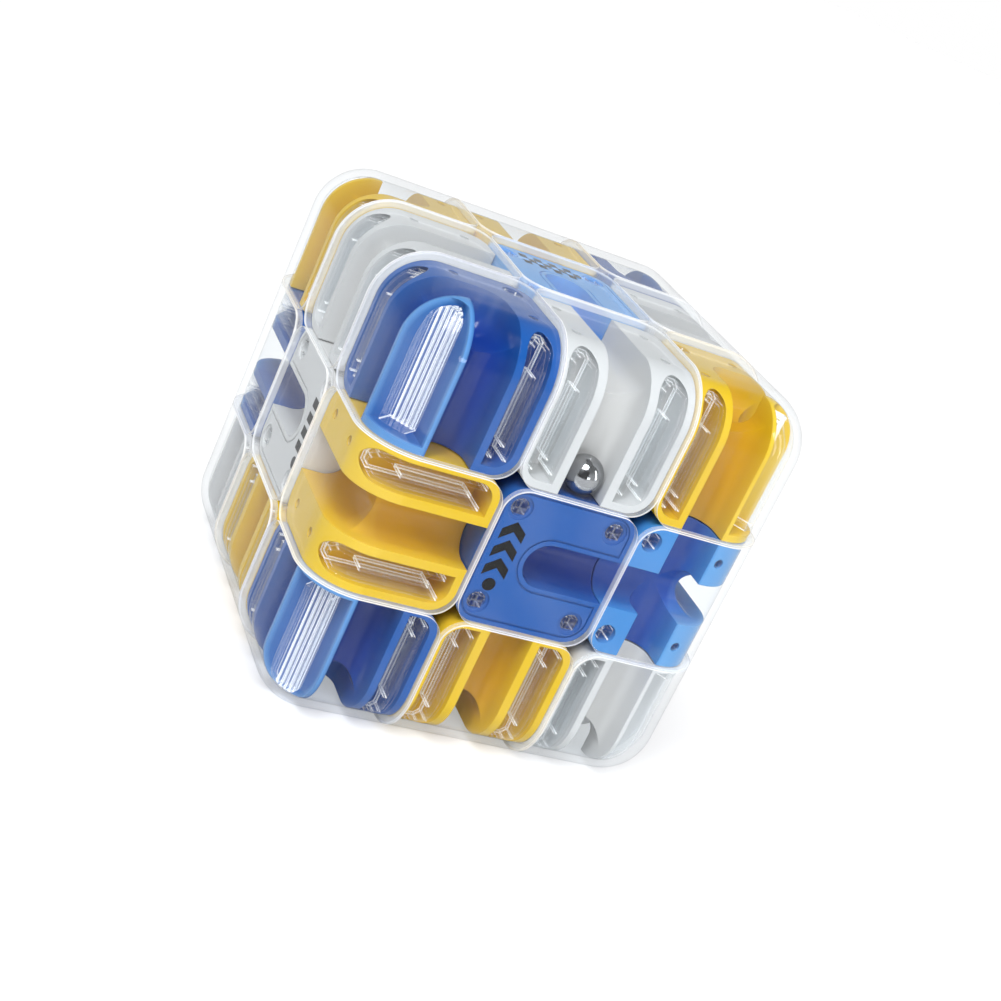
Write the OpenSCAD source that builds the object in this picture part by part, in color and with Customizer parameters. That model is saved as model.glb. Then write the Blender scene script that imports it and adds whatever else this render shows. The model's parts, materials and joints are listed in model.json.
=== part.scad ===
// Twist-and-roll maze cube: a 3 x 3 x 3 layered cube whose pieces carry a
// ball track on every outer face, under clear snap-on covers.
// Origin: centre of the cube.  -Y is the front (start plate), +Z is the top
// (finish plate), -X is the left side.

/* [Cube] */
// Length of one edge of the whole cube, mm
cube_size = 85; // [84.5:0.5:88]
// Radius of the cube's outer edges and corners, mm
edge_r = 11; // [9.5:0.5:12]
// Gap left on each side of a cut between two layers, mm
layer_gap = 0.15; // [0.1:0.05:0.25]
// Radius of a piece's inner corners, where four pieces meet, mm
cell_r = 4.8; // [3:0.2:5.4]

/* [Clear covers] */
// Wall thickness of the clear covers, mm
cover_wall = 1.5; // [1.2:0.1:1.8]
// Air gap between a cover and the coloured insert under it, mm
cover_gap = 0.1; // [0.1:0.05:0.2]
// Wall thickness of the clear ribs that hang in each long pocket, mm
rib_wall = 0.7; // [0.5:0.1:0.8]
// Depth of the ribs below the cover, mm
rib_drop = 6.5; // [4:0.5:7]

/* [Ball track] */
// Diameter of the steel ball, mm
ball_d = 7.5; // [7:0.1:8]
// Radius of the round-bottomed track, mm
track_r = 4.5; // [4.3:0.1:4.8]
// How far the tracks of a corner piece lie inside the middle of its cell, mm
lane_inset = 1.5; // [1:0.1:1.8]
// Height of the track's floor above the cube's centre, mm
track_floor = 32.6; // [32.4:0.1:32.7]
// Width of the rim left around the long pockets beside the track, mm
rim_w = 1.5; // [1.2:0.1:1.7]
// Depth of the long pockets, mm
pocket_depth = 8; // [7.5:0.1:8.2]

/* [Turning mechanism] */
// Distance from the centre to the sides of the feet, mm
foot_side = 9; // [8.8:0.1:9.2]
// Outer radius of the ball-shaped layer that the feet run in, mm
foot_r = 29.8; // [29.4:0.1:29.9]
// Inner radius of that layer, mm
foot_inner_r = 20; // [19:0.5:22]
// Radius of the arms of the core, mm
arm_r = 6; // [5:0.5:6.5]
// Length of an arm from the centre, mm
arm_len = 15.5; // [15:0.1:15.6]
// Radius of a hub's stem, mm
stem_r = 8; // [7.5:0.1:8.2]
// Radius of the tension screws' shanks, mm
screw_r = 1.5; // [1.2:0.1:1.5]
// Turns in a tension spring
spring_turns = 5; // [4:1:6]

/* [Hidden] */
$fn = 64;
over = 3;                              // how far cutting tools overshoot

// Cube and cells
half = cube_size / 2;
cell_half = cube_size / 6;
outer_lo = cell_half + layer_gap;      // inner side plane of an outer-layer piece
mid_half = cell_half - layer_gap;      // half width of a middle piece
insert_half = half - cover_wall - cover_gap;
insert_edge_r = edge_r - cover_wall - cover_gap;

// Track
lane = cube_size / 3 - lane_inset;     // middle of the tracks in a corner cell
lane_near = lane - track_r;            // track's inner side in a corner cell
lane_far = lane + track_r;             // track's outer side in a corner cell
track_mid = track_floor + track_r;     // centre line of the track

// Walls beside the track, and the long pockets in them
corner_wall = (outer_lo + lane_near) / 2;         // middle of the wall, corner cell
corner_pocket_w = lane_near - outer_lo - 2 * rim_w;
mid_wall = (track_r + mid_half) / 2 + 0.2;        // middle of a wall, middle cell
mid_pocket_w = mid_half - track_r - 2 * rim_w - 0.3;
pocket_far = half - 2.4;               // height of the pockets' arched ends
pocket_r = cell_r - rim_w;

// Ribs in the long pockets
rib_gap = 0.7;                         // from the pocket's side to a rib
rib_far = pocket_far - 0.75;
// Lower end of the ribs: 0.25 above the point where a line 0.65 inside the
// pocket's side meets its rounded corner.
rib_corner = pocket_r - 0.65;
rib_lo = outer_lo + rim_w + pocket_r - sqrt(pocket_r * pocket_r - rib_corner * rib_corner) + 0.25;
fin_raise = 1.5;                       // the fin's lower edge above the ribs'
fin_start = 2.5;                       // from the ribs' lower end to the fin

// Cavity under an insert
cavity_wall = 2.2;
cavity_hi = track_floor - 1.8;

// Pegs and keys on the covers, with their holes in the inserts
peg_r = 0.7;
peg_hole_r = 0.95;
peg_depth = 3;
key_w = 2.4;
key_hole_r = 2;
key_depth = 4;
end_gap = 0.3;                         // left below a peg or key
root = 1;                              // how far they rise above the insert
peg_near = outer_lo + 5.2;             // pegs on edge pieces, from the centre
peg_far = half - 12;
cross_key_x = mid_wall + 0.7;
cross_key_z = outer_lo + 3.6;
cross_peg_z = half - 9;

// Window in a corner piece's post
post_start = 40;                       // along the diagonal
post_end = 70;
post_window_w = 12.4;
post_rib_w = 5.6;
post_groove_w = 0.4;
post_groove_pitch = 0.95;

// Hubs and centre plates
hub_top = track_floor - 1.6;
hub_bore_r = 5;
stem_lo = arm_len + 0.3;
stem_floor = stem_lo + 2;              // top of the stem's flange
plate_lo = hub_top + 0.1;
plate_key = mid_half - 4.1;            // keys at a plate's corners
plate_hole_r = 1.8;
plate_hole_depth = 3.5;
plate_key_depth = 3.2;
land_gap = 0.7;                        // from the plate's edges to its lands

// Screws, washers and springs
core_bore_lo = 6.5;
screw_lo = core_bore_lo + 0.5;
stack_gap = 0.1;                       // between flange, spring, washer and head
washer_lo = 25.6;
washer_r = 4.3;
washer_t = 0.9;
head_lo = washer_lo + washer_t + stack_gap;
head_r = 3.4;
head_t = 1.8;
slot_depth = 1;
wire_r = 0.35;
coil_r = 3.3;

blue = [0.247, 0.439, 0.722];
light_blue = [0.46, 0.70, 0.90];
yellow = [0.94, 0.75, 0.19];
white = [0.88, 0.89, 0.90];
clear = [0.93, 0.96, 0.98, 0.35];
dark = [0.13, 0.16, 0.22];
steel = [0.72, 0.73, 0.74];

// ---------------------------------------------------------------- outlines

// Square from lo to hi on both axes, with its far corner rounded.
module far_rounded(lo, hi, r) {
    union() {
        translate([lo, lo]) square([hi - r - lo, hi - lo]);
        translate([lo, lo]) square([hi - lo, hi - r - lo]);
        translate([hi - r, hi - r]) circle(r);
    }
}

// Quadrant from lo outwards, with its near corner rounded.
module near_rounded(lo, r) {
    difference() {
        translate([lo, lo]) square(half + over - lo);
        difference() {
            translate([lo - 1, lo - 1]) square(r + 1);
            translate([lo + r, lo + r]) circle(r);
        }
    }
}

// Strip of half width w, open outwards from lo, with both near corners rounded.
module rounded_strip(w, lo, r) {
    union() {
        translate([-w, lo + r]) square([2 * w, half + over - lo - r]);
        translate([-w + r, lo]) square([2 * (w - r), r + 1]);
        for (k = [-1, 1]) translate([k * (w - r), lo + r]) circle(r);
    }
}

// Square of half width w with all corners rounded.
module rounded_square(w, r) {
    union() {
        square([2 * w, 2 * (w - r)], center = true);
        square([2 * (w - r), 2 * w], center = true);
        for (i = [-1, 1], j = [-1, 1]) translate([i * (w - r), j * (w - r)]) circle(r);
    }
}

// Track section: round bottom about the origin, open towards +Y.
module track_section() {
    union() {
        circle(track_r);
        translate([-track_r, 0]) square([2 * track_r, half - track_mid + over]);
    }
}

// Slot of width w about the line x = mid, with an arched far end.
module arched_slot(mid, w, lo, hi) {
    union() {
        translate([mid - w / 2, lo]) square([w, hi - w / 2 - lo]);
        translate([mid, hi - w / 2]) circle(w / 2);
    }
}

// The same with a bevelled far end, cut by a square stood on its corner.
module bevelled_slot(mid, w, lo, hi) {
    centre = (lo + hi) / 2 - w / 4;
    intersection() {
        translate([mid - w / 2, lo]) square([w, hi - lo]);
        translate([mid, centre]) rotate(45)
            square((hi - centre + 0.22 * w) * sqrt(2), center = true);
    }
}

// ------------------------------------------------------------ orientations

// Extrude an outline drawn in (x, y) from p to q:
// along z as drawn
module along_z(p, q) { translate([0, 0, p]) linear_extrude(q - p) children(); }
// along x, drawn (x, y) -> (y, z)
module along_x(p, q) { translate([p, 0, 0]) rotate([90, 0, 90]) linear_extrude(q - p) children(); }
// along y, drawn (x, y) -> (x, z)
module along_y(p, q) { translate([0, q, 0]) rotate([90, 0, 0]) linear_extrude(q - p) children(); }

// Swap x and y.
module swap_xy() { mirror([1, -1, 0]) children(); }

// Stand children, drawn along +Z, on an insert's +Z or +Y face.
module on_face_z(x, y) { translate([x, y, insert_half]) children(); }
module on_face_y(x, z) { translate([x, insert_half, z]) rotate([-90, 0, 0]) children(); }

// ------------------------------------------------------------ solid blanks

// Corner of a rounded cube: from lo to hi on each axis.
module corner_solid(lo, hi, r) {
    union() {
        along_z(lo, hi - r) far_rounded(lo, hi, r);
        along_x(lo, hi - r) far_rounded(lo, hi, r);
        along_y(lo, hi - r) far_rounded(lo, hi, r);
        intersection() {
            translate([hi - r, hi - r, hi - r]) sphere(r);
            translate([hi - r, hi - r, hi - r]) cube(r + 1);
        }
    }
}

module corner_blank(hi, r) {
    intersection() {
        corner_solid(outer_lo, hi, r);
        along_z(outer_lo - 1, half + 1) near_rounded(outer_lo, cell_r);
        along_x(outer_lo - 1, half + 1) near_rounded(outer_lo, cell_r);
        along_y(outer_lo - 1, half + 1) near_rounded(outer_lo, cell_r);
    }
}

module edge_blank(hi, r) {
    intersection() {
        along_x(-mid_half, mid_half) far_rounded(outer_lo, hi, r);
        along_z(outer_lo - 1, half + 1) rounded_strip(mid_half, outer_lo, cell_r);
        along_y(outer_lo - 1, half + 1) rounded_strip(mid_half, outer_lo, cell_r);
    }
}

// Ball-shaped layer that every foot is cut from.
module foot_layer() {
    difference() {
        sphere(foot_r);
        sphere(foot_inner_r);
    }
}

// ------------------------------------------------------------- track tools

// Tracks from p to q.  The first letter is the face (+X, +Y or +Z), the second
// the axis they run along; side is the place on the remaining axis.
module track_yz(side, p, q) {
    translate([side, 0, 0]) along_z(p, q) translate([0, track_mid]) track_section();
}
module track_xz(side, p, q) {
    translate([0, side, 0]) along_z(p, q) translate([track_mid, 0]) rotate(-90) track_section();
}
module track_zy(side, p, q) {
    translate([side, 0, 0]) along_y(p, q) translate([0, track_mid]) track_section();
}
module track_zx(side, p, q) {
    translate([0, side, 0]) along_x(p, q) translate([0, track_mid]) track_section();
}
module track_yx(side, p, q) {
    translate([0, 0, side]) along_x(p, q) translate([track_mid, 0]) rotate(-90) track_section();
}

// Round turning place in the track on the +Z or +Y face.
module turn_z(x, y) {
    translate([x, y, track_mid]) sphere(track_r);
    translate([x, y, track_mid]) cylinder(r = track_r, h = half - track_mid + over);
}
module turn_y(x, z) {
    translate([x, track_mid, z]) sphere(track_r);
    translate([x, track_mid, z]) rotate([-90, 0, 0])
        cylinder(r = track_r, h = half - track_mid + over);
}

// -------------------------------------------------------- pockets and ribs

// Long pockets on the +Y face, running along Z: in a corner cell, and in a
// middle cell on the side k.
module corner_pocket() {
    along_y(insert_half - pocket_depth, half + over) intersection() {
        arched_slot(corner_wall, corner_pocket_w, outer_lo, pocket_far);
        near_rounded(outer_lo + rim_w, pocket_r);
    }
}
module middle_pocket(k) {
    along_y(insert_half - pocket_depth, half + over) intersection() {
        arched_slot(k * mid_wall, mid_pocket_w, outer_lo, pocket_far);
        rounded_strip(mid_half - rim_w, outer_lo + rim_w, pocket_r);
    }
}

// Clear ribs that hang in a pocket of width w about x = mid: two walls joined
// at one end, and a shorter fin between them.
module ribs(mid, w) {
    outer_w = w - 2 * rib_gap;
    along_y(insert_half - rib_drop, half) difference() {
        bevelled_slot(mid, outer_w, rib_lo, rib_far);
        bevelled_slot(mid, outer_w - 2 * rib_wall, rib_lo - 1, rib_far - rib_wall);
    }
    translate([mid - rib_wall / 2, insert_half - rib_drop + fin_raise, rib_lo + fin_start])
        cube([rib_wall, rib_drop, pocket_far - 9 - rib_lo]);
}

// Window in the post on a corner piece's upright edge: a wedge-shaped pocket
// with an arched top, seen along the diagonal.
module post_window() {
    intersection() {
        translate([lane_far + 0.9, lane_far + 0.9, outer_lo + 1.4]) cube([20, 20, 40]);
        rotate([0, 0, 45]) along_x(post_start, post_end)
            arched_slot(0, post_window_w, 0, half - 2);
    }
}
// Broad clear rib in the window, grooved lengthwise.
module post_rib() {
    difference() {
        intersection() {
            translate([lane_far + 1.6, lane_far + 1.6, outer_lo + 2.6]) cube([20, 20, 40]);
            rotate([0, 0, 45]) along_x(post_start, post_end)
                arched_slot(0, post_rib_w, 0, half - 3.1);
        }
        for (k = [-2 : 2]) rotate([0, 0, 45])
            translate([post_start, k * post_groove_pitch - post_groove_w / 2, 0])
                cube([lane_far * sqrt(2) + 5.4 - post_start, post_groove_w, 60]);
    }
}

// Cavity that lightens an insert, open at its hidden side facing -Z.  It stays
// clear of the foot's root and of the track floors.
module cavity(x_lo, x_hi) {
    y_lo = outer_lo + cavity_wall;
    z_lo = outer_lo - over;
    difference() {
        translate([x_lo, y_lo, z_lo]) cube([x_hi - x_lo, cavity_hi - y_lo, cavity_hi - z_lo]);
        sphere(foot_r + 2.4);
    }
}

// ----------------------------------------- pegs, keys and their holes

module hole(r, depth) { translate([0, 0, -depth]) cylinder(r = r, h = depth + over); }
module peg_hole() { hole(peg_hole_r, peg_depth); }
module key_hole() { hole(key_hole_r, key_depth); }
module peg() {
    translate([0, 0, end_gap - peg_depth]) cylinder(r = peg_r, h = peg_depth - end_gap + root);
}
// Square key.
module key(depth = key_depth) {
    translate([-key_w / 2, -key_w / 2, end_gap - depth]) cube([key_w, key_w, depth - end_gap + root]);
}

// Their places, shared by insert and cover.
module at_corner_key() { on_face_z(corner_wall, corner_wall) children(); }
module at_corner_pegs() {
    on_face_z(corner_wall, peg_far) children();
    on_face_z(peg_far, corner_wall) children();
}
module at_edge_pegs() {
    for (k = [-1, 1], y = [peg_near, peg_far]) on_face_z(k * mid_wall, y) children();
}
module at_cross_keys() {
    for (k = [-1, 1]) on_face_y(k * cross_key_x, cross_key_z) children();
}
module at_cross_pegs() {
    for (k = [-1, 1]) on_face_y(k * mid_wall, cross_peg_z) children();
}
module at_plate_keys() {
    for (i = [-1, 1], j = [-1, 1]) on_face_z(i * plate_key, j * plate_key) children();
}

// ----------------------------------------------------------- corner pieces

// Corner piece: upright tracks on both sides, joined by a bend on the flat face.
module corner_insert() {
    difference() {
        corner_blank(insert_half, insert_edge_r);
        track_yz(lane, outer_lo - over, half + over);
        track_xz(lane, outer_lo - over, half + over);
        track_zy(lane, lane, half + over);
        track_zx(lane, lane, half + over);
        turn_z(lane, lane);
        corner_pocket();
        swap_xy() corner_pocket();
        post_window();
        cavity(outer_lo + cavity_wall, cavity_hi);
        at_corner_key() key_hole();
        at_corner_pegs() peg_hole();
    }
    foot_lo = foot_side + layer_gap;
    intersection() {
        translate([foot_lo, foot_lo, foot_lo]) cube(foot_r);
        foot_layer();
    }
}
module corner_cover() {
    difference() {
        corner_blank(half, edge_r);
        difference() {
            corner_solid(outer_lo - over, half - cover_wall, edge_r - cover_wall);
            ribs(corner_wall, corner_pocket_w);
            swap_xy() ribs(corner_wall, corner_pocket_w);
            post_rib();
            at_corner_key() key();
            at_corner_pegs() peg();
        }
    }
}

// ------------------------------------------------------------- edge pieces

// What holds an edge piece in the core: foot and neck.
module edge_foot() {
    foot_half = foot_side - layer_gap;
    foot_lo = foot_side + layer_gap;
    intersection() {
        translate([-foot_half, foot_lo, foot_lo]) cube([2 * foot_half, foot_r, foot_r]);
        foot_layer();
    }
    intersection() {
        translate([-foot_half, outer_lo, outer_lo]) cube([2 * foot_half, foot_r, foot_r]);
        sphere(foot_r + 1.2);
    }
}

// What all edge pieces share: one track that wraps over the cube's edge, and
// plain pads with peg holes on the +Z face.  Children are cut away too.
module edge_insert_base() {
    difference() {
        edge_blank(insert_half, insert_edge_r);
        sphere(foot_r + 0.3);
        cavity(-mid_half + cavity_wall, mid_half - cavity_wall);
        track_yz(0, outer_lo - over, half + over);
        track_zy(0, outer_lo - over, half + over);
        at_edge_pegs() peg_hole();
        children();
    }
    edge_foot();
}
// Cover of an edge piece.  Children are kept as parts that hang inside it.
module edge_cover_base() {
    difference() {
        edge_blank(half, edge_r);
        difference() {
            along_x(-mid_half - over, mid_half + over)
                far_rounded(outer_lo - over, half - cover_wall, edge_r - cover_wall);
            at_edge_pegs() peg();
            children();
        }
    }
}

// Edge piece with long pockets on the +Y face.
module edge_insert() { edge_insert_base() for (k = [-1, 1]) middle_pocket(k); }
module edge_cover() { edge_cover_base() for (k = [-1, 1]) ribs(k * mid_wall, mid_pocket_w); }

// Crossing edge piece: its track leaves the +Y face on all four sides.
module cross_insert() {
    edge_insert_base() {
        track_yx(lane, -mid_half - over, mid_half + over);
        turn_y(0, lane);
        at_cross_keys() key_hole();
        at_cross_pegs() peg_hole();
    }
}
module cross_cover() {
    edge_cover_base() {
        at_cross_keys() key();
        at_cross_pegs() peg();
    }
}

// ----------------------------------------------------------- centre plates

// The track of a plate is open at +X; with two open ends also at -X, otherwise
// it ends in the middle.
function plate_track_lo(open_ends) = open_ends == 2 ? -mid_half - over : 0;

// Flat lands beside the track, shrunk by inset.
module plate_lands(open_ends, inset) {
    lo = plate_track_lo(open_ends);
    margin = land_gap + inset;
    difference() {
        rounded_square(mid_half - margin, cell_r - margin);
        translate([lo, -track_r - margin])
            square([mid_half + over - lo, 2 * (track_r + margin)]);
        circle(track_r + margin);
    }
}

// Centre plate with a spigot below; a fine groove outlines its lands.
module plate_insert(open_ends) {
    difference() {
        union() {
            along_z(plate_lo, insert_half) rounded_square(mid_half, cell_r);
            translate([0, 0, plate_lo - 1.8]) cylinder(r = 4.6, h = 2.5);
        }
        track_zx(0, plate_track_lo(open_ends), mid_half + over);
        if (open_ends == 1) turn_z(0, 0);
        at_plate_keys() {
            hole(plate_hole_r, plate_hole_depth);
            hole(2.4, 0.4); // shallow counterbore
        }
        along_z(insert_half - 0.3, insert_half + 1) difference() {
            plate_lands(open_ends, 0.2);
            plate_lands(open_ends, 0.55);
        }
    }
}
module plate_cover() {
    along_z(half - cover_wall, half) rounded_square(mid_half, cell_r);
    at_plate_keys() key(plate_key_depth);
}

// --------------------------------------------------- mechanism, along +Z

// Hub: domed plate under the centre plate, with a stem that turns on the core.
module hub() {
    difference() {
        union() {
            difference() {
                along_z(outer_lo, hub_top) rounded_square(mid_half, cell_r);
                sphere(foot_r + 0.3);
            }
            translate([0, 0, stem_lo]) cylinder(r = stem_r, h = hub_top - stem_lo);
        }
        translate([0, 0, stem_floor]) cylinder(r = hub_bore_r, h = 20);
        translate([0, 0, arm_len - 1]) cylinder(r = screw_r + 0.4, h = 5);
    }
}

// Tension screw with a cross slot in its head.
module screw() {
    difference() {
        union() {
            translate([0, 0, screw_lo]) cylinder(r = screw_r, h = 20);
            translate([0, 0, head_lo]) cylinder(r = head_r, h = head_t);
        }
        translate([0, 0, head_lo + head_t - slot_depth])
            for (k = [0, 90]) rotate([0, 0, k]) translate([-2, -0.4, 0]) cube([4, 0.8, 2]);
    }
}

module washer() {
    translate([0, 0, washer_lo]) difference() {
        cylinder(r = washer_r, h = washer_t);
        translate([0, 0, -1]) cylinder(r = screw_r + 0.25, h = 3);
    }
}

// Coil spring between the hub's flange and the washer, as one swept wire.
module spring() {
    z_lo = stem_floor + stack_gap + wire_r;
    z_hi = washer_lo - stack_gap - wire_r;
    turn_steps = 12;
    sides = 5;
    steps = spring_turns * turn_steps;
    // one ring of points per step, sides points to a ring
    points = [for (i = [0:steps], j = [0:sides - 1])
        let (turn = i * 360 / turn_steps, around = j * 360 / sides,
             reach = coil_r + wire_r * cos(around))
        [reach * cos(turn), reach * sin(turn),
         z_lo + (z_hi - z_lo) * i / steps + wire_r * sin(around)]];
    walls = [for (i = [0:steps - 1], j = [0:sides - 1])
        let (here = i * sides + j, next = i * sides + (j + 1) % sides)
        [here, here + sides, next + sides, next]];
    ends = [[for (j = [0:sides - 1]) j], [for (j = [sides - 1:-1:0]) steps * sides + j]];
    polyhedron(points = points, faces = concat(walls, ends), convexity = 6);
}

// Turns of the +Z direction to: top, bottom, front, back, right, left.
DIRS = [[0, 0, 0], [180, 0, 0], [90, 0, 0], [-90, 0, 0], [0, 90, 0], [0, -90, 0]];

// -------------------------------------------------------------- placements

// A corner piece, drawn in the (+,+,+) corner, moved to another by its signs.
module to_corner(i, j, k) {
    mirror([i < 0 ? 1 : 0, 0, 0]) mirror([0, j < 0 ? 1 : 0, 0]) mirror([0, 0, k < 0 ? 1 : 0])
        children();
}

// Edge pieces are drawn at the top back.
module to_top_front() { mirror([0, 1, 0]) children(); }
module to_top_left() { rotate([0, 0, 90]) children(); }
module to_top_right() { rotate([0, 0, -90]) children(); }
module to_bottom_front() { rotate([180, 0, 0]) children(); }
module to_bottom_back() { mirror([0, 0, 1]) children(); }
module to_bottom_left() { mirror([0, 0, 1]) to_top_left() children(); }
module to_bottom_right() { mirror([0, 0, 1]) to_top_right() children(); }
module to_front_left() { mirror([0, 1, 0]) rotate([0, -90, 0]) children(); }
module to_front_right() { mirror([0, 1, 0]) rotate([0, 90, 0]) children(); }
module to_back_left() { rotate([0, 0, -90]) to_front_left() children(); }
module to_back_right() { mirror([1, 0, 0]) to_back_left() children(); }

// Centre plates are drawn at the top, their tracks opening to +X.
module to_top() { rotate([0, 0, -90]) children(); }
module to_bottom() { rotate([180, 0, 0]) children(); }
module to_front() { rotate([90, 0, 0]) children(); }
module to_back() { rotate([-90, 0, 0]) children(); }
module to_left() { rotate([-90, 0, 0]) rotate([0, -90, 0]) children(); }
module to_right() { rotate([90, 0, 0]) rotate([0, 90, 0]) children(); }

// ------------------------------------------------------------------- nodes

module top_front_left_insert() { color(blue) to_corner(-1, -1, 1) corner_insert(); }
module top_front_right_insert() { color(yellow) to_corner(1, -1, 1) corner_insert(); }
module top_back_left_insert() { color(yellow) to_corner(-1, 1, 1) corner_insert(); }
module top_back_right_insert() { color(blue) to_corner(1, 1, 1) corner_insert(); }
module bottom_front_left_insert() { color(blue) to_corner(-1, -1, -1) corner_insert(); }
module bottom_front_right_insert() { color(white) to_corner(1, -1, -1) corner_insert(); }
module bottom_back_left_insert() { color(white) to_corner(-1, 1, -1) corner_insert(); }
module bottom_back_right_insert() { color(yellow) to_corner(1, 1, -1) corner_insert(); }
module top_front_insert() { color(white) to_top_front() edge_insert(); }
module top_back_insert() { color(yellow) edge_insert(); }
module top_left_insert() { color(white) to_top_left() edge_insert(); }
module top_right_insert() { color(white) to_top_right() edge_insert(); }
module bottom_front_insert() { color(yellow) to_bottom_front() edge_insert(); }
module bottom_back_insert() { color(white) to_bottom_back() edge_insert(); }
module bottom_left_insert() { color(yellow) to_bottom_left() edge_insert(); }
module bottom_right_insert() { color(blue) to_bottom_right() edge_insert(); }
module front_left_insert() { color(yellow) to_front_left() edge_insert(); }
module front_right_insert() { color(blue) to_front_right() cross_insert(); }
module back_left_insert() { color(blue) to_back_left() edge_insert(); }
module back_right_insert() { color(white) to_back_right() edge_insert(); }
module top_centre_insert() { color(light_blue) to_top() plate_insert(1); }
module bottom_centre_insert() { color(yellow) to_bottom() plate_insert(2); }
module front_centre_insert() { color(blue) to_front() plate_insert(1); }
module back_centre_insert() { color(yellow) to_back() plate_insert(2); }
module left_centre_insert() { color(white) to_left() plate_insert(1); }
module right_centre_insert() { color(white) to_right() plate_insert(2); }

module top_front_left_cover() { color(clear) to_corner(-1, -1, 1) corner_cover(); }
module top_front_right_cover() { color(clear) to_corner(1, -1, 1) corner_cover(); }
module top_back_left_cover() { color(clear) to_corner(-1, 1, 1) corner_cover(); }
module top_back_right_cover() { color(clear) to_corner(1, 1, 1) corner_cover(); }
module bottom_front_left_cover() { color(clear) to_corner(-1, -1, -1) corner_cover(); }
module bottom_front_right_cover() { color(clear) to_corner(1, -1, -1) corner_cover(); }
module bottom_back_left_cover() { color(clear) to_corner(-1, 1, -1) corner_cover(); }
module bottom_back_right_cover() { color(clear) to_corner(1, 1, -1) corner_cover(); }
module top_front_cover() { color(clear) to_top_front() edge_cover(); }
module top_back_cover() { color(clear) edge_cover(); }
module top_left_cover() { color(clear) to_top_left() edge_cover(); }
module top_right_cover() { color(clear) to_top_right() edge_cover(); }
module bottom_front_cover() { color(clear) to_bottom_front() edge_cover(); }
module bottom_back_cover() { color(clear) to_bottom_back() edge_cover(); }
module bottom_left_cover() { color(clear) to_bottom_left() edge_cover(); }
module bottom_right_cover() { color(clear) to_bottom_right() edge_cover(); }
module front_left_cover() { color(clear) to_front_left() edge_cover(); }
module front_right_cover() { color(clear) to_front_right() cross_cover(); }
module back_left_cover() { color(clear) to_back_left() edge_cover(); }
module back_right_cover() { color(clear) to_back_right() edge_cover(); }
module top_centre_cover() { color(clear) to_top() plate_cover(); }
module bottom_centre_cover() { color(clear) to_bottom() plate_cover(); }
module front_centre_cover() { color(clear) to_front() plate_cover(); }
module back_centre_cover() { color(clear) to_back() plate_cover(); }
module left_centre_cover() { color(clear) to_left() plate_cover(); }
module right_centre_cover() { color(clear) to_right() plate_cover(); }

// Six-armed core, drilled for the tension screws.
module core() {
    color(dark) difference() {
        union() {
            sphere(10);
            for (d = DIRS) rotate(d) cylinder(r = arm_r, h = arm_len);
        }
        for (d = DIRS) rotate(d) translate([0, 0, core_bore_lo]) cylinder(r = screw_r + 0.05, h = 20);
    }
}
module tension_screws() { color(steel) for (d = DIRS) rotate(d) screw(); }
module tension_springs() { color(steel) for (d = DIRS) rotate(d) spring(); }
module spring_washers() { color(steel) for (d = DIRS) rotate(d) washer(); }
module top_hub() { color(dark) hub(); }
module bottom_hub() { color(dark) rotate([180, 0, 0]) hub(); }
module side_hubs() { color(dark) for (k = [2:5]) rotate(DIRS[k]) hub(); }

// Ball at the lower end of the top front track, leaning on the cover and on the
// track's right wall, where it lies while the cube is tilted forwards.
module steel_ball() {
    ball_r = ball_d / 2;
    color(steel)
        translate([track_r - ball_r - 0.1, -(half - cover_wall - ball_r - 0.15), cell_half + ball_r + 0.1])
            sphere(ball_r);
}

top_front_left_insert();
top_front_right_insert();
top_back_left_insert();
top_back_right_insert();
bottom_front_left_insert();
bottom_front_right_insert();
bottom_back_left_insert();
bottom_back_right_insert();
top_front_insert();
top_back_insert();
top_left_insert();
top_right_insert();
bottom_front_insert();
bottom_back_insert();
bottom_left_insert();
bottom_right_insert();
front_left_insert();
front_right_insert();
back_left_insert();
back_right_insert();
top_centre_insert();
bottom_centre_insert();
front_centre_insert();
back_centre_insert();
left_centre_insert();
right_centre_insert();
top_front_left_cover();
top_front_right_cover();
top_back_left_cover();
top_back_right_cover();
bottom_front_left_cover();
bottom_front_right_cover();
bottom_back_left_cover();
bottom_back_right_cover();
top_front_cover();
top_back_cover();
top_left_cover();
top_right_cover();
bottom_front_cover();
bottom_back_cover();
bottom_left_cover();
bottom_right_cover();
front_left_cover();
front_right_cover();
back_left_cover();
back_right_cover();
top_centre_cover();
bottom_centre_cover();
front_centre_cover();
back_centre_cover();
left_centre_cover();
right_centre_cover();
core();
tension_screws();
tension_springs();
spring_washers();
top_hub();
bottom_hub();
side_hubs();
steel_ball();
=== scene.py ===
"""A plastic cube with ball tracks inside clear and coloured walls, and marks printed on three plates.

The rounded cube is centred on the origin: its top faces +Z, its front -Y and its left side -X.
Sizes are in mm unless noted, and MM turns them into Blender's metres.
"""
import json
import math

import bmesh
import bpy
from mathutils import Matrix, Vector


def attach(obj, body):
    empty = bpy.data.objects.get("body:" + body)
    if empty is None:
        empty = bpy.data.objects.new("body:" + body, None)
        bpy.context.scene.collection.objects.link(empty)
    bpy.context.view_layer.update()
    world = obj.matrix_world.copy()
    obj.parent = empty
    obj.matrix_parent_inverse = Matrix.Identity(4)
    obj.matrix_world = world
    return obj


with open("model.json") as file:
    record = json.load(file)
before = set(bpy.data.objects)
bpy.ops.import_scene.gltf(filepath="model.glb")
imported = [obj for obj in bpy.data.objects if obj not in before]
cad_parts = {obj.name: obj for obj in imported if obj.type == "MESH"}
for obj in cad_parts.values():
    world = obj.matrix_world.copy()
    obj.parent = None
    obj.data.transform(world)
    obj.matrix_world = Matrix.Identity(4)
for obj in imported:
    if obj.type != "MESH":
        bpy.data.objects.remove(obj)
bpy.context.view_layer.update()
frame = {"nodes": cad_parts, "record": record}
scene = bpy.context.scene

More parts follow.
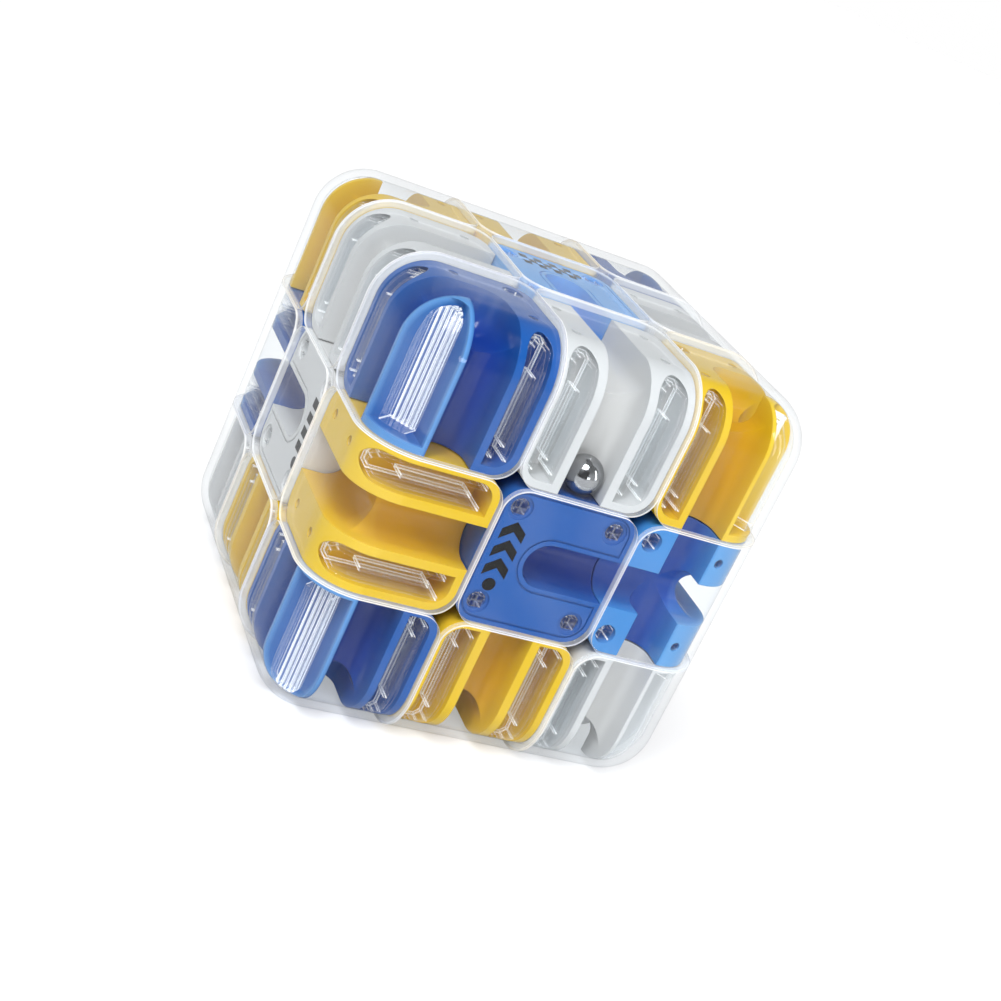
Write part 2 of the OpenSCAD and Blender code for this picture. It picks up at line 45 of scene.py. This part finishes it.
MM = 0.001
HALF_SIZE = 42.5        # from the centre to the cube's outer faces
CORNER_RADIUS = 11.0    # rounding of the cube's edges and corners
PLATE_TOP = 40.9        # from the centre to the face of a centre plate


def mm(*lengths):
    """Lengths in mm as a tuple in metres."""
    return tuple(length * MM for length in lengths)


# -------------------------------------------------------------- node helpers
def linear(hex_colour):
    """sRGB hex colour to linear RGBA."""
    channels = []
    for i in (0, 2, 4):
        value = int(hex_colour[i:i + 2], 16) / 255
        channels.append(value / 12.92 if value <= 0.04045 else ((value + 0.055) / 1.055) ** 2.4)
    return (*channels, 1.0)


class Tree:
    """Short ways to add nodes.  An input value is a number, a tuple or a socket to link."""

    def __init__(self, node_tree):
        self.node_tree = node_tree

    def plug(self, socket, value):
        if isinstance(value, bpy.types.NodeSocket):
            self.node_tree.links.new(value, socket)
        else:
            socket.default_value = value

    def node(self, kind, inputs=None, **props):
        """Add a node; inputs maps socket names or indices to values."""
        node = self.node_tree.nodes.new("ShaderNode" + kind)
        for key, value in props.items():
            setattr(node, key, value)
        for key, value in (inputs or {}).items():
            self.plug(node.inputs[key], value)
        return node

    def shader(self, kind, inputs):
        return self.node(kind, inputs).outputs[0]

    def calc(self, operation, a, b):
        return self.node("Math", {0: a, 1: b}, operation=operation).outputs[0]

    def vector(self, operation, a, b=None):
        inputs = {0: a} if b is None else {0: a, 1: b}
        node = self.node("VectorMath", inputs, operation=operation)
        return node.outputs["Value" if operation in ("LENGTH", "DOT_PRODUCT") else 0]

    def remap(self, value, span=(0.0, 1.0), to=(0.0, 1.0)):
        """Map the range span linearly to the range to, clamped."""
        return self.node("MapRange", {
            "Value": value, "From Min": span[0], "From Max": span[1],
            "To Min": to[0], "To Max": to[1]}).outputs[0]

    def noise(self, coords, scale, detail, rough):
        return self.node("TexNoise", {
            "Vector": coords, "Scale": scale, "Detail": detail, "Roughness": rough}).outputs["Fac"]

    def mix_colour(self, fac, a, b, mode="MIX"):
        inputs = {0: fac, 6: a, 7: b}
        return self.node("Mix", inputs, data_type="RGBA", blend_type=mode).outputs[2]

    def mix_shader(self, fac, a, b):
        return self.shader("MixShader", {0: fac, 1: a, 2: b})

    def bevel(self, radius, samples=4):
        return self.node("Bevel", {"Radius": radius}, samples=samples).outputs[0]

    def bump(self, height, strength, distance, normal=None):
        inputs = {"Height": height, "Strength": strength, "Distance": distance}
        if normal is not None:
            inputs["Normal"] = normal
        return self.shader("Bump", inputs)

    def facing(self, normal=None):
        """0 where a surface faces the viewer, 1 where it is seen edge-on."""
        inputs = {"Blend": 0.5}
        if normal is not None:
            inputs["Normal"] = normal
        return self.node("LayerWeight", inputs).outputs["Facing"]

    def coords(self):
        return self.node("TexCoord").outputs["Object"]

    def abs_xyz(self, coords):
        """Absolute x, y and z as three sockets."""
        return self.node("SeparateXYZ", {0: self.vector("ABSOLUTE", coords)}).outputs

    def shell(self, coords):
        """Distance from the rounded cube's inner box: CORNER_RADIUS on the outer surface,
        less below it."""
        inner = (HALF_SIZE - CORNER_RADIUS) * MM
        beyond = self.vector("SUBTRACT", self.vector("ABSOLUTE", coords), (inner, inner, inner))
        return self.vector("LENGTH", self.vector("MAXIMUM", beyond, (0.0, 0.0, 0.0)))


class MaterialTree(Tree):
    """The emptied node tree of a new material, with its output node."""

    def __init__(self, name):
        self.material = bpy.data.materials.new(name)
        self.material.use_nodes = True
        super().__init__(self.material.node_tree)
        self.node_tree.nodes.clear()
        self.output = self.node("OutputMaterial")

    def finish(self, shader):
        self.plug(self.output.inputs[0], shader)
        return self.material


# ---------------------------------------------------------------- materials
NOISE_SPAN = (0.3, 0.7)    # the part of a noise's range that is stretched to full effect


def moulded(name, base, deep, lit, rough=0.16, coat=0.08):
    """Glossy injection-moulded plastic, with painted shade that darkens it down in the tracks and
    pockets, and painted light that makes it paler in the thin-walled corner posts that light shines
    through."""
    t = MaterialTree(name)
    coords = t.coords()
    # painted shade: the colour goes towards deep with depth down in the tracks and pockets
    depth_shade = t.remap(t.shell(coords), span=mm(8.9, 2.2))
    colour = t.mix_colour(depth_shade, linear(base), linear(deep))

    # painted light in the corner posts, which light shines through: both x and y large, strongest in
    # the outer layers and near the skin
    x, y, z = t.abs_xyz(coords)
    post_light = t.remap(t.calc("MINIMUM", x, y), span=mm(31.1, 31.9), to=(0.0, 0.7))
    outer = t.remap(z, span=mm(14.1, 14.3), to=(0.55, 1.0))
    skin = t.remap(t.shell(coords), span=mm(8.2, 9.2), to=(0.30, 1.0))
    post_light = t.calc("MULTIPLY", t.calc("MULTIPLY", post_light, outer), skin)
    colour = t.mix_colour(post_light, colour, linear(lit))

    # slight drift in shade, then faint flow marks
    drift = t.remap(t.noise(coords, scale=70, detail=3, rough=0.55), span=NOISE_SPAN, to=(0.0, 0.10))
    colour = t.mix_colour(drift, colour, linear(deep))
    flow = t.node("TexWave", {"Vector": coords, "Scale": 22, "Distortion": 6, "Detail": 2},
                  wave_type="BANDS", bands_direction="DIAGONAL").outputs["Fac"]
    colour = t.mix_colour(t.remap(flow, to=(0.0, 0.025)), colour, (1, 1, 1, 1), mode="SCREEN")

    # orange peel over rounded edges
    peel = t.bump(t.noise(coords, scale=900, detail=2, rough=0.5), strength=0.06,
                  distance=0.03 * MM, normal=t.bevel(radius=0.25 * MM))
    return t.finish(t.shader("BsdfPrincipled", {
        "Base Color": colour,
        "Roughness": t.remap(t.noise(coords, scale=500, detail=3, rough=0.6),
                             span=NOISE_SPAN, to=(rough - 0.03, rough + 0.05)),
        "IOR": 1.36,
        "Coat Weight": coat,
        "Coat Roughness": 0.05,
        "Normal": peel,
        "Coat Normal": peel}))


def thin_wall(t, coords, normal):
    """Clear wall: shows what is under it unbent, and mirrors at a slant."""
    slant = t.calc("POWER", t.facing(normal), 6.0)    # keeps the mirror to grazing views
    mirror = t.remap(slant, to=(0.016, 0.72))
    through = t.shader("BsdfTransparent", {"Color": (0.975, 0.985, 0.99, 1)})
    smudges = t.noise(coords, scale=260, detail=4, rough=0.6)
    gloss = t.shader("BsdfAnisotropic", {
        "Color": (1, 1, 1, 1),
        "Roughness": t.remap(smudges, span=(0.4, 0.8), to=(0.02, 0.07)),
        "Normal": normal})
    return t.mix_shader(mirror, through, gloss)


def rim_highlight_mask(t, coords):
    """Mask of a painted highlight: a narrow strip along the border of each clear piece."""
    middle = 14.167 * MM       # a piece's sides lie as far from this coordinate as it does from 0
    rounding = 4.8 * MM        # radius of a piece's corners
    offset = t.vector("SUBTRACT", t.vector("ABSOLUTE", coords), (middle,) * 3)
    inset = t.vector("SUBTRACT", (rounding,) * 3, t.vector("ABSOLUTE", offset))
    inset = t.vector("MAXIMUM", inset, (0.0, 0.0, 0.0))
    border = t.calc("SUBTRACT", rounding, t.vector("LENGTH", inset))
    rim = t.remap(border, span=mm(0.20, 0.30), to=(1.0, 0.0))
    face = t.remap(t.shell(coords), span=mm(10.45, 10.75), to=(0.30, 0.85))
    return t.calc("MULTIPLY", rim, face)


def plate_mask(t, coords):
    """Mask of the centre plates, where only one coordinate is large."""
    x, y, z = t.abs_xyz(coords)
    low = t.calc("MINIMUM", t.calc("MINIMUM", x, y), z)
    high = t.calc("MAXIMUM", t.calc("MAXIMUM", x, y), z)
    total = t.calc("ADD", t.calc("ADD", x, y), z)
    second = t.calc("SUBTRACT", t.calc("SUBTRACT", total, low), high)
    return t.remap(second, span=mm(14.0, 14.2), to=(1.0, 0.0))


def clear_plastic(name):
    """Polished clear plastic: a thin wall, ribs and pegs under it that bend light, and painted
    highlights in white along each piece's border and on the edges of its ribs and pegs."""
    t = MaterialTree(name)
    coords = t.coords()
    normal = t.bump(t.noise(coords, scale=420, detail=2, rough=0.5), strength=0.05,
                    distance=0.03 * MM, normal=t.bevel(radius=0.25 * MM))
    wall = thin_wall(t, coords, normal)
    ribs = t.shader("BsdfPrincipled", {
        "Base Color": (0.99, 0.995, 1.0, 1),
        "Transmission Weight": 1.0,
        "IOR": 1.46,
        "Roughness": 0.02,
        "Normal": normal})
    below = t.remap(t.shell(coords), span=mm(9.15, 9.38), to=(1.0, 0.0))    # 1 under the wall
    # painted highlight along each piece's border
    rim = rim_highlight_mask(t, coords)

    # painted highlight on the edges of ribs and pegs, where they catch light: there a wide bevel
    # turns the normal
    turned = t.vector("DOT_PRODUCT", t.bevel(radius=0.6 * MM, samples=6),
                      t.node("NewGeometry").outputs["Normal"])
    edge = t.remap(turned, span=(0.985, 0.93), to=(0.03, 1.0))
    plate = plate_mask(t, coords)
    edge = t.calc("MULTIPLY", edge, t.remap(plate, to=(1.0, 0.35)))    # a plate's pegs get less of the painted highlight

    # painted glow: the white on the ribs' edges glows a little, standing in for the light that the
    # wall pipes down to them
    painted_glow = t.calc("MULTIPLY", t.calc("MULTIPLY", below, edge), 0.38)
    highlight_white = t.shader("BsdfPrincipled", {
        "Base Color": (0.99, 0.995, 1.0, 1),
        "Roughness": 0.2,
        "Emission Color": (1, 1, 1, 1),
        "Emission Strength": painted_glow,
        "Normal": normal})
    bending = t.calc("MULTIPLY", below, t.remap(plate, to=(0.15, 1.0)))
    body = t.mix_shader(bending, wall, ribs)
    # painted highlights: white on the border strip and on the edges of ribs and pegs
    highlight_mask = t.calc("MAXIMUM", rim, t.calc("MULTIPLY", below, edge))
    highlighted = t.mix_shader(highlight_mask, body, highlight_white)

    # lamps shine through to what is under it
    rays = t.node("LightPath").outputs
    lighting = t.calc("MAXIMUM", rays["Is Shadow Ray"], rays["Is Diffuse Ray"])
    through = t.shader("BsdfTransparent", {"Color": (0.96, 0.97, 0.98, 1)})
    return t.finish(t.mix_shader(lighting, highlighted, through))


def metal(name, base, rough, scratch=0.05, grain=400.0, silhouette_shade=None):
    """Steel with fine grain; an optional last colour is painted shade that darkens it towards the
    silhouette.
    """
    t = MaterialTree(name)
    coords = t.coords()
    grains = t.noise(coords, scale=grain, detail=4, rough=0.6)
    colour = t.mix_colour(t.remap(grains, span=NOISE_SPAN, to=(0.0, 0.35)),
                          linear(base), linear("8E8F92"))
    if silhouette_shade:
        # painted shade: darker towards the silhouette
        slant = t.remap(t.facing(), span=(0.25, 0.95), to=(0.0, 0.9))
        colour = t.mix_colour(slant, colour, linear(silhouette_shade))
    return t.finish(t.shader("BsdfPrincipled", {
        "Metallic": 1.0,
        "Base Color": colour,
        "Roughness": t.remap(grains, span=NOISE_SPAN, to=(rough, rough + scratch)),
        "Normal": t.bump(t.noise(coords, scale=grain * 3, detail=3, rough=0.6),
                         strength=0.03, distance=0.02 * MM)}))


def matt(name, base, deep, rough=0.5, shine=0.5):
    """Dull surface that drifts between two shades, with a fine texture."""
    t = MaterialTree(name)
    coords = t.coords()
    drift = t.noise(coords, scale=300, detail=3, rough=0.55)
    return t.finish(t.shader("BsdfPrincipled", {
        "Specular IOR Level": shine,
        "Base Color": t.mix_colour(drift, linear(base), linear(deep)),
        "Roughness": t.remap(drift, span=NOISE_SPAN, to=(rough - 0.08, rough + 0.1)),
        "Normal": t.bump(t.noise(coords, scale=2200, detail=2, rough=0.5),
                         strength=0.2, distance=0.05 * MM)}))


# for the moulded plastics, deep is the painted shade down in the tracks and pockets, and lit is the
# painted light in the corner posts
MATERIALS = {
    "blue_plastic": moulded("blue_plastic", base="1256A4", deep="053692", lit="6BA6DE",
                            rough=0.12, coat=0.10),
    "light_blue_plastic": moulded("light_blue_plastic", base="5AA6EA", deep="3C86D6", lit="8CC2F0"),
    "yellow_plastic": moulded("yellow_plastic", base="E4BC14", deep="D09C12", lit="F0CC3C"),
    "white_plastic": moulded("white_plastic", base="D2D3D3", deep="D6D5D3", lit="DFE0E1"),
    "clear_plastic": clear_plastic("clear_plastic"),
    "dark_plastic": matt("dark_plastic", base="10142A", deep="0A0D1C"),
    "spring_steel": metal("spring_steel", base="B9BABD", rough=0.25),
    "ball_steel": metal("ball_steel", base="BDBEC0", rough=0.11, scratch=0.04, grain=260.0,
                        silhouette_shade="2C2D30"),
}
INK = matt("printed_ink", base="030304", deep="070708", rough=0.45, shine=0.15)

# the crossing piece gets a paler, glossier copy of the blue plastic as painted light: it is thin
# behind its pads, so light comes through it as in a corner post
SPECIAL = {
    "front_right_insert": moulded("blue_plastic_painted_lit", base="3F8ACF", deep="1548A4", lit="8CC2EE",
                                  rough=0.12, coat=0.16),
}

slots = {part["node"]: part["material_slot"] for part in frame["record"]["subparts"]}
for name, piece in frame["nodes"].items():
    piece.data.materials.clear()
    piece.data.materials.append(SPECIAL.get(name) or MATERIALS[slots[name]])
    for polygon in piece.data.polygons:
        polygon.material_index = 0

# ------------------------------------------------------------ printed marks
INK_THICKNESS = 0.06
INK_SINK = 0.01       # how far the ink starts below the plate's face
MARK_X = -9.2         # centre line of the dots, arrow heads and bars, by the plate's closed side
BAR_WIDTH, BAR_HEIGHT = 4.4, 1.9
CHEQUER = 1.7         # side of a chequer square
CHEQUER_X, CHEQUER_Y = -11.8, -6.8    # the strip's lowest x and y


def turn(degrees, axis):
    return Matrix.Rotation(math.radians(degrees), 4, axis)


# from a plate drawn facing +Z, with its track open to +X, to its place on the cube
PLATE_TURNS = {
    "top_centre": turn(-90, "Z"),
    "front_centre": turn(90, "X"),
    "left_centre": turn(-90, "X") @ turn(-90, "Y"),
}


def mark(name, plate, body, outlines):
    """Thin printed shapes on a centre plate, from outlines in the plate's own (x, y)."""
    bm = bmesh.new()
    for silhouette_shade in outlines:
        bottom = [bm.verts.new((x * MM, y * MM, (PLATE_TOP - INK_SINK) * MM)) for x, y in silhouette_shade]
        extruded = bmesh.ops.extrude_face_region(bm, geom=[bm.faces.new(bottom)])
        top = [item for item in extruded["geom"] if isinstance(item, bmesh.types.BMVert)]
        bmesh.ops.translate(bm, verts=top, vec=(0, 0, INK_THICKNESS * MM))
    bmesh.ops.recalc_face_normals(bm, faces=bm.faces)
    bm.transform(PLATE_TURNS[plate])
    mesh = bpy.data.meshes.new(name)
    bm.to_mesh(mesh)
    bm.free()
    ob = bpy.data.objects.new(name, mesh)
    scene.collection.objects.link(ob)
    mesh.materials.append(INK)
    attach(ob, body)


def rect(x0, y0, x1, y1):
    return [(x0, y0), (x1, y0), (x1, y1), (x0, y1)]


def disc(x, y, radius, segments=40):
    angles = [2 * math.pi * i / segments for i in range(segments)]
    return [(x + radius * math.cos(a), y + radius * math.sin(a)) for a in angles]


def chevron(x, y, width=4.8, height=4.0, stroke=2.1):
    """Arrow head that points to +y; stroke is its thickness along y."""
    left, right = x - width / 2, x + width / 2
    low, tip = y - height / 2, y + height / 2
    return [(left, low), (x, tip - stroke), (right, low),
            (right, low + stroke), (x, tip), (left, low + stroke)]


def chequer(row, column):
    return rect(CHEQUER_X + column * CHEQUER, CHEQUER_Y + row * CHEQUER,
                CHEQUER_X + (column + 1) * CHEQUER, CHEQUER_Y + (row + 1) * CHEQUER)


def bar(y):
    return rect(MARK_X - BAR_WIDTH / 2, y, MARK_X + BAR_WIDTH / 2, y + BAR_HEIGHT)


# front: a dot and three arrow heads; top: a chequered strip; left: four bars and a dot
mark("start_mark", "front_centre", "middle_layer",
     [disc(MARK_X, -6.0, radius=1.3)] + [chevron(MARK_X, y) for y in (-2.4, 1.4, 5.2)])
mark("finish_mark", "top_centre", "top_layer",
     [chequer(i, j) for i in range(8) for j in range(3) if (i + j) % 2 == 0])
mark("side_mark", "left_centre", "middle_layer",
     [bar(y) for y in (-7.0, -4.0, -1.0, 2.0)] + [disc(MARK_X, 6.1, radius=1.2)])


# -------------------------------------------- floor, world, lights (metres)
FLOOR_GAP = 0.1 * MM    # between the cube and the floor


def square(name, half, z):
    mesh = bpy.data.meshes.new(name)
    corners = [(-half, -half, z), (half, -half, z), (half, half, z), (-half, half, z)]
    mesh.from_pydata(corners, [], [(0, 1, 2, 3)])
    ob = bpy.data.objects.new(name, mesh)
    scene.collection.objects.link(ob)
    return ob


def seen_directly(t, rays):
    """1 for rays from the camera, straight or through clear plastic."""
    return t.calc("MAXIMUM", rays["Is Camera Ray"], rays["Is Transmission Ray"])


def floor_paper():
    """Pale matt paper that glows more where it is seen than where it lights the cube."""
    t = MaterialTree("floor_paper")
    seen = seen_directly(t, t.node("LightPath").outputs)
    return t.finish(t.shader("BsdfPrincipled", {
        "Base Color": (0.62, 0.62, 0.625, 1),
        "Roughness": 0.9,
        "Specular IOR Level": 0.0,
        "Emission Color": (1, 1, 1, 1),
        "Emission Strength": t.remap(seen, to=(0.05, 0.42))}))


def studio_world():
    """White sky, dimmer as a light than as a backdrop; in mirrors it darkens with height."""
    world = bpy.data.worlds.new("studio")
    scene.world = world
    world.use_nodes = True
    t = Tree(world.node_tree)
    rays = t.node("LightPath").outputs
    level = t.remap(seen_directly(t, rays), to=(0.46, 1.0))
    direction = t.node("TexCoord").outputs["Generated"]
    up = t.node("SeparateXYZ", {0: direction}).outputs["Z"]
    band = t.remap(up, span=(0.36, 0.62), to=(0.06, -0.28))
    mirrored = t.calc("MULTIPLY", rays["Is Glossy Ray"], band)
    background = world.node_tree.nodes["Background"]
    background.inputs["Color"].default_value = (1, 1, 1, 1)
    t.plug(background.inputs["Strength"], t.calc("ADD", level, mirrored))


def add_light(name, kind, direction, energy):
    """A light that shines along direction."""
    light = bpy.data.lights.new(name, kind)
    light.energy = energy
    ob = bpy.data.objects.new(name, light)
    scene.collection.objects.link(ob)
    ob.rotation_euler = direction.to_track_quat("-Z", "Y").to_euler()
    return ob


floor = square("floor", half=6.0, z=-HALF_SIZE * MM - FLOOR_GAP)
floor.data.materials.append(floor_paper())
studio_world()

sun = add_light("sun", "SUN", direction=Vector((0.30, 0.42, -0.85)), energy=1.8)
sun.data.angle = math.radians(30)

# rectangular lamps aimed at the cube's centre: name, place, (width, height), power in W
LAMPS = [
    ("key", (-0.32, -0.30, 0.42), (0.06, 0.50), 1.3),
    ("side", (0.42, -0.36, 0.22), (0.05, 0.40), 0.8),
    ("front", (-0.02, -0.55, 0.05), (0.30, 0.06), 0.5),
]
for name, place, (width, height), power in LAMPS:
    lamp = add_light(name, "AREA", direction=Vector((0, 0, 0)) - Vector(place), energy=power)
    lamp.location = place
    lamp.data.shape = "RECTANGLE"
    lamp.data.size = width
    lamp.data.size_y = height

# a dark card behind the camera, for mirrors only: it gives the ball its dark middle
card = square("dark_card", half=0.24, z=0.0)
card.location = (-0.19, -0.40, 0.10)
card.rotation_euler = Vector((0.19, 0.36, -0.10)).to_track_quat("Z", "Y").to_euler()
card.data.materials.append(matt("card", base="050505", deep="0A0A0A", rough=0.9))
for ray in ("camera", "diffuse", "transmission", "volume_scatter", "shadow"):
    setattr(card, "visible_" + ray, False)

# ------------------------------------------------------- camera and render
# the camera's own axes in the cube's frame
CAMERA_AXES = (
    (0.867607, -0.292114, 0.402402),      # right
    (-0.238654, 0.465336, 0.852354),      # up
    (-0.436237, -0.835543, 0.334014),     # back
)
CAMERA_PLACE = mm(-151.974, -304.598, 115.713)

lens = bpy.data.cameras.new("camera")
lens.sensor_width = 36
lens.sensor_fit = "HORIZONTAL"
lens.lens = 64.354046    # focal length
lens.clip_start = 0.01
lens.clip_end = 50
camera = bpy.data.objects.new("camera", lens)
scene.collection.objects.link(camera)
pose = Matrix(CAMERA_AXES).transposed().to_4x4()
pose.translation = CAMERA_PLACE
camera.matrix_world = pose
scene.camera = camera

scene.view_settings.view_transform = "Standard"
scene.cycles.max_bounces = 24
scene.cycles.transmission_bounces = 20
scene.cycles.transparent_max_bounces = 24
scene.cycles.glossy_bounces = 6
scene.cycles.diffuse_bounces = 4
